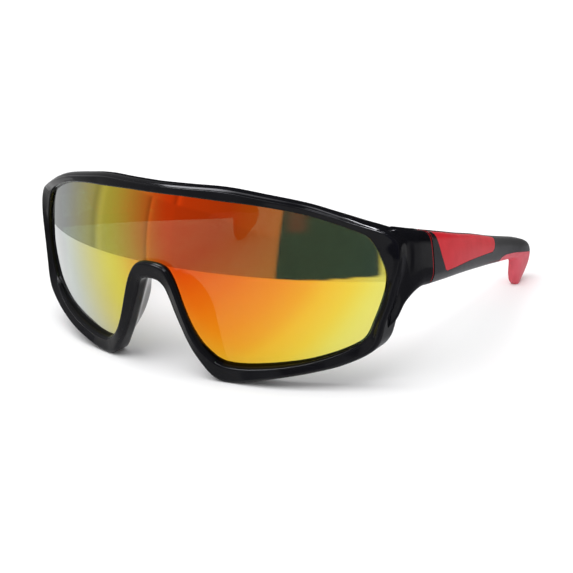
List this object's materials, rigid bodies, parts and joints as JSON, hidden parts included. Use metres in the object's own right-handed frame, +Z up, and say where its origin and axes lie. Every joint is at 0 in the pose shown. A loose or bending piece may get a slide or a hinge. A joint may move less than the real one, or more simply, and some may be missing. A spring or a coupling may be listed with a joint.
{
  "type": "shield sunglasses",
  "caption": "Wraparound shield sunglasses with a one-piece mirrored lens in a full rim and hinged temples that fold, with coloured inlays and rubber tips.",
  "frame": {"origin": "on the table, under the middle of the box around the glasses as they stand with the temples open", "axes": "+X to the wearer's left, -Y is the way the wearer looks (the lens faces -Y and the temples run to +Y), +Z up"},
  "size_m": [0.1386, 0.1411, 0.0548],
  "materials": {
    "gloss_black": "gloss black moulded plastic",
    "arm_black": "gloss black moulded plastic",
    "mirror_lens": "orange to yellow mirror coating on a polycarbonate shield",
    "inlay_red": "satin gloss red plastic",
    "collar_red": "gloss red plastic",
    "tip_rubber": "soft red rubber",
    "hinge_steel": "stamped steel",
    "screw_steel": "turned steel"
  },
  "bodies": {
    "front": {"front_frame": "gloss_black", "shield_lens": "mirror_lens", "hinge_front_leaf_left": "hinge_steel", "hinge_front_leaf_right": "hinge_steel", "hinge_screw_left": "screw_steel", "hinge_screw_right": "screw_steel", "front_leaf_screws_left": "screw_steel", "front_leaf_screws_right": "screw_steel"},
    "temple_left": {"temple_arm_left": "arm_black", "temple_inlay_left": "inlay_red", "temple_tip_left": "tip_rubber", "temple_collar_left": "collar_red", "hinge_temple_leaf_left": "hinge_steel", "temple_leaf_screws_left": "screw_steel"},
    "temple_right": {"temple_arm_right": "arm_black", "temple_inlay_right": "inlay_red", "temple_tip_right": "tip_rubber", "temple_collar_right": "collar_red", "hinge_temple_leaf_right": "hinge_steel", "temple_leaf_screws_right": "screw_steel"}
  },
  "joints": [
    {"name": "temple_left_fold", "type": "hinge", "parent": "front", "child": "temple_left", "pos_m": [0.063, -0.03308, 0.0346], "axis": [0, 0, 1], "range_deg": [0, 95]},
    {"name": "temple_right_fold", "type": "hinge", "parent": "front", "child": "temple_right", "pos_m": [-0.063, -0.03308, 0.0346], "axis": [0, 0, -1], "range_deg": [0, 86]}
  ]
}
